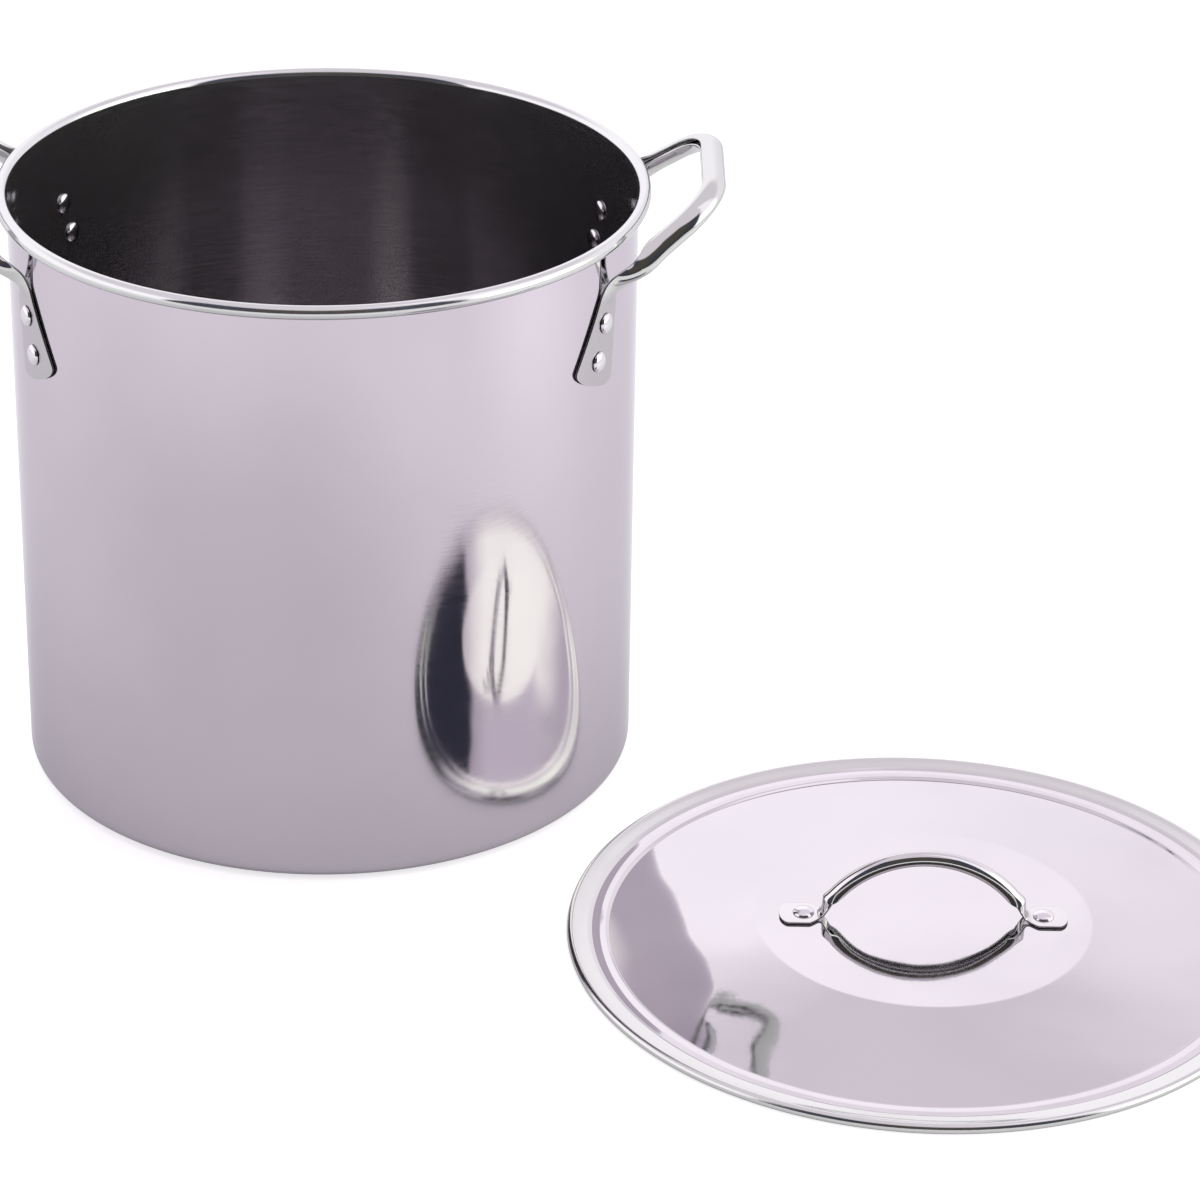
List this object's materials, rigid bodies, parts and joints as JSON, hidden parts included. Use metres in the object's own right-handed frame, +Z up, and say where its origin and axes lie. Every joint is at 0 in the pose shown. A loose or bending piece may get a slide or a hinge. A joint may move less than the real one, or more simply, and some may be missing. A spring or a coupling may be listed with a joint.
{
  "type": "brew kettle",
  "caption": "Tall stainless steel brew kettle with a curled rim and two riveted loop handles, its shallow domed lid with an arched handle lying beside it.",
  "frame": {"origin": "centre of the kettle's flat underside, on the floor that both the kettle and the lid rest on", "axes": "+Z up along the kettle's axis; +X towards the right-hand side handle, on whose front side the lid lies; -Y is the side that faces the viewer"},
  "size_m": [0.7038, 0.5666, 0.3413],
  "materials": {
    "kettle_shell": "mirror-polished stainless steel, satin inside",
    "lid_shell": "mirror-polished stainless steel",
    "handle_strip": "polished stainless steel strip",
    "rivet_steel": "polished stainless steel"
  },
  "bodies": {
    "kettle": {"kettle_body": "kettle_shell", "handle_right": "handle_strip", "handle_left": "handle_strip", "handle_right_rivet_front_upper": "rivet_steel", "handle_right_rivet_front_lower": "rivet_steel", "handle_right_rivet_rear_upper": "rivet_steel", "handle_right_rivet_rear_lower": "rivet_steel", "handle_left_rivet_front_upper": "rivet_steel", "handle_left_rivet_front_lower": "rivet_steel", "handle_left_rivet_rear_upper": "rivet_steel", "handle_left_rivet_rear_lower": "rivet_steel"},
    "lid": {"lid_pan": "lid_shell", "lid_handle": "handle_strip", "lid_rivet_left": "rivet_steel", "lid_rivet_right": "rivet_steel"}
  },
  "joints": [
    {"name": "lid_lift", "type": "slide", "parent": "kettle", "child": "lid", "axis": [0, 0, 1], "range_m": [0, 0.4]}
  ]
}
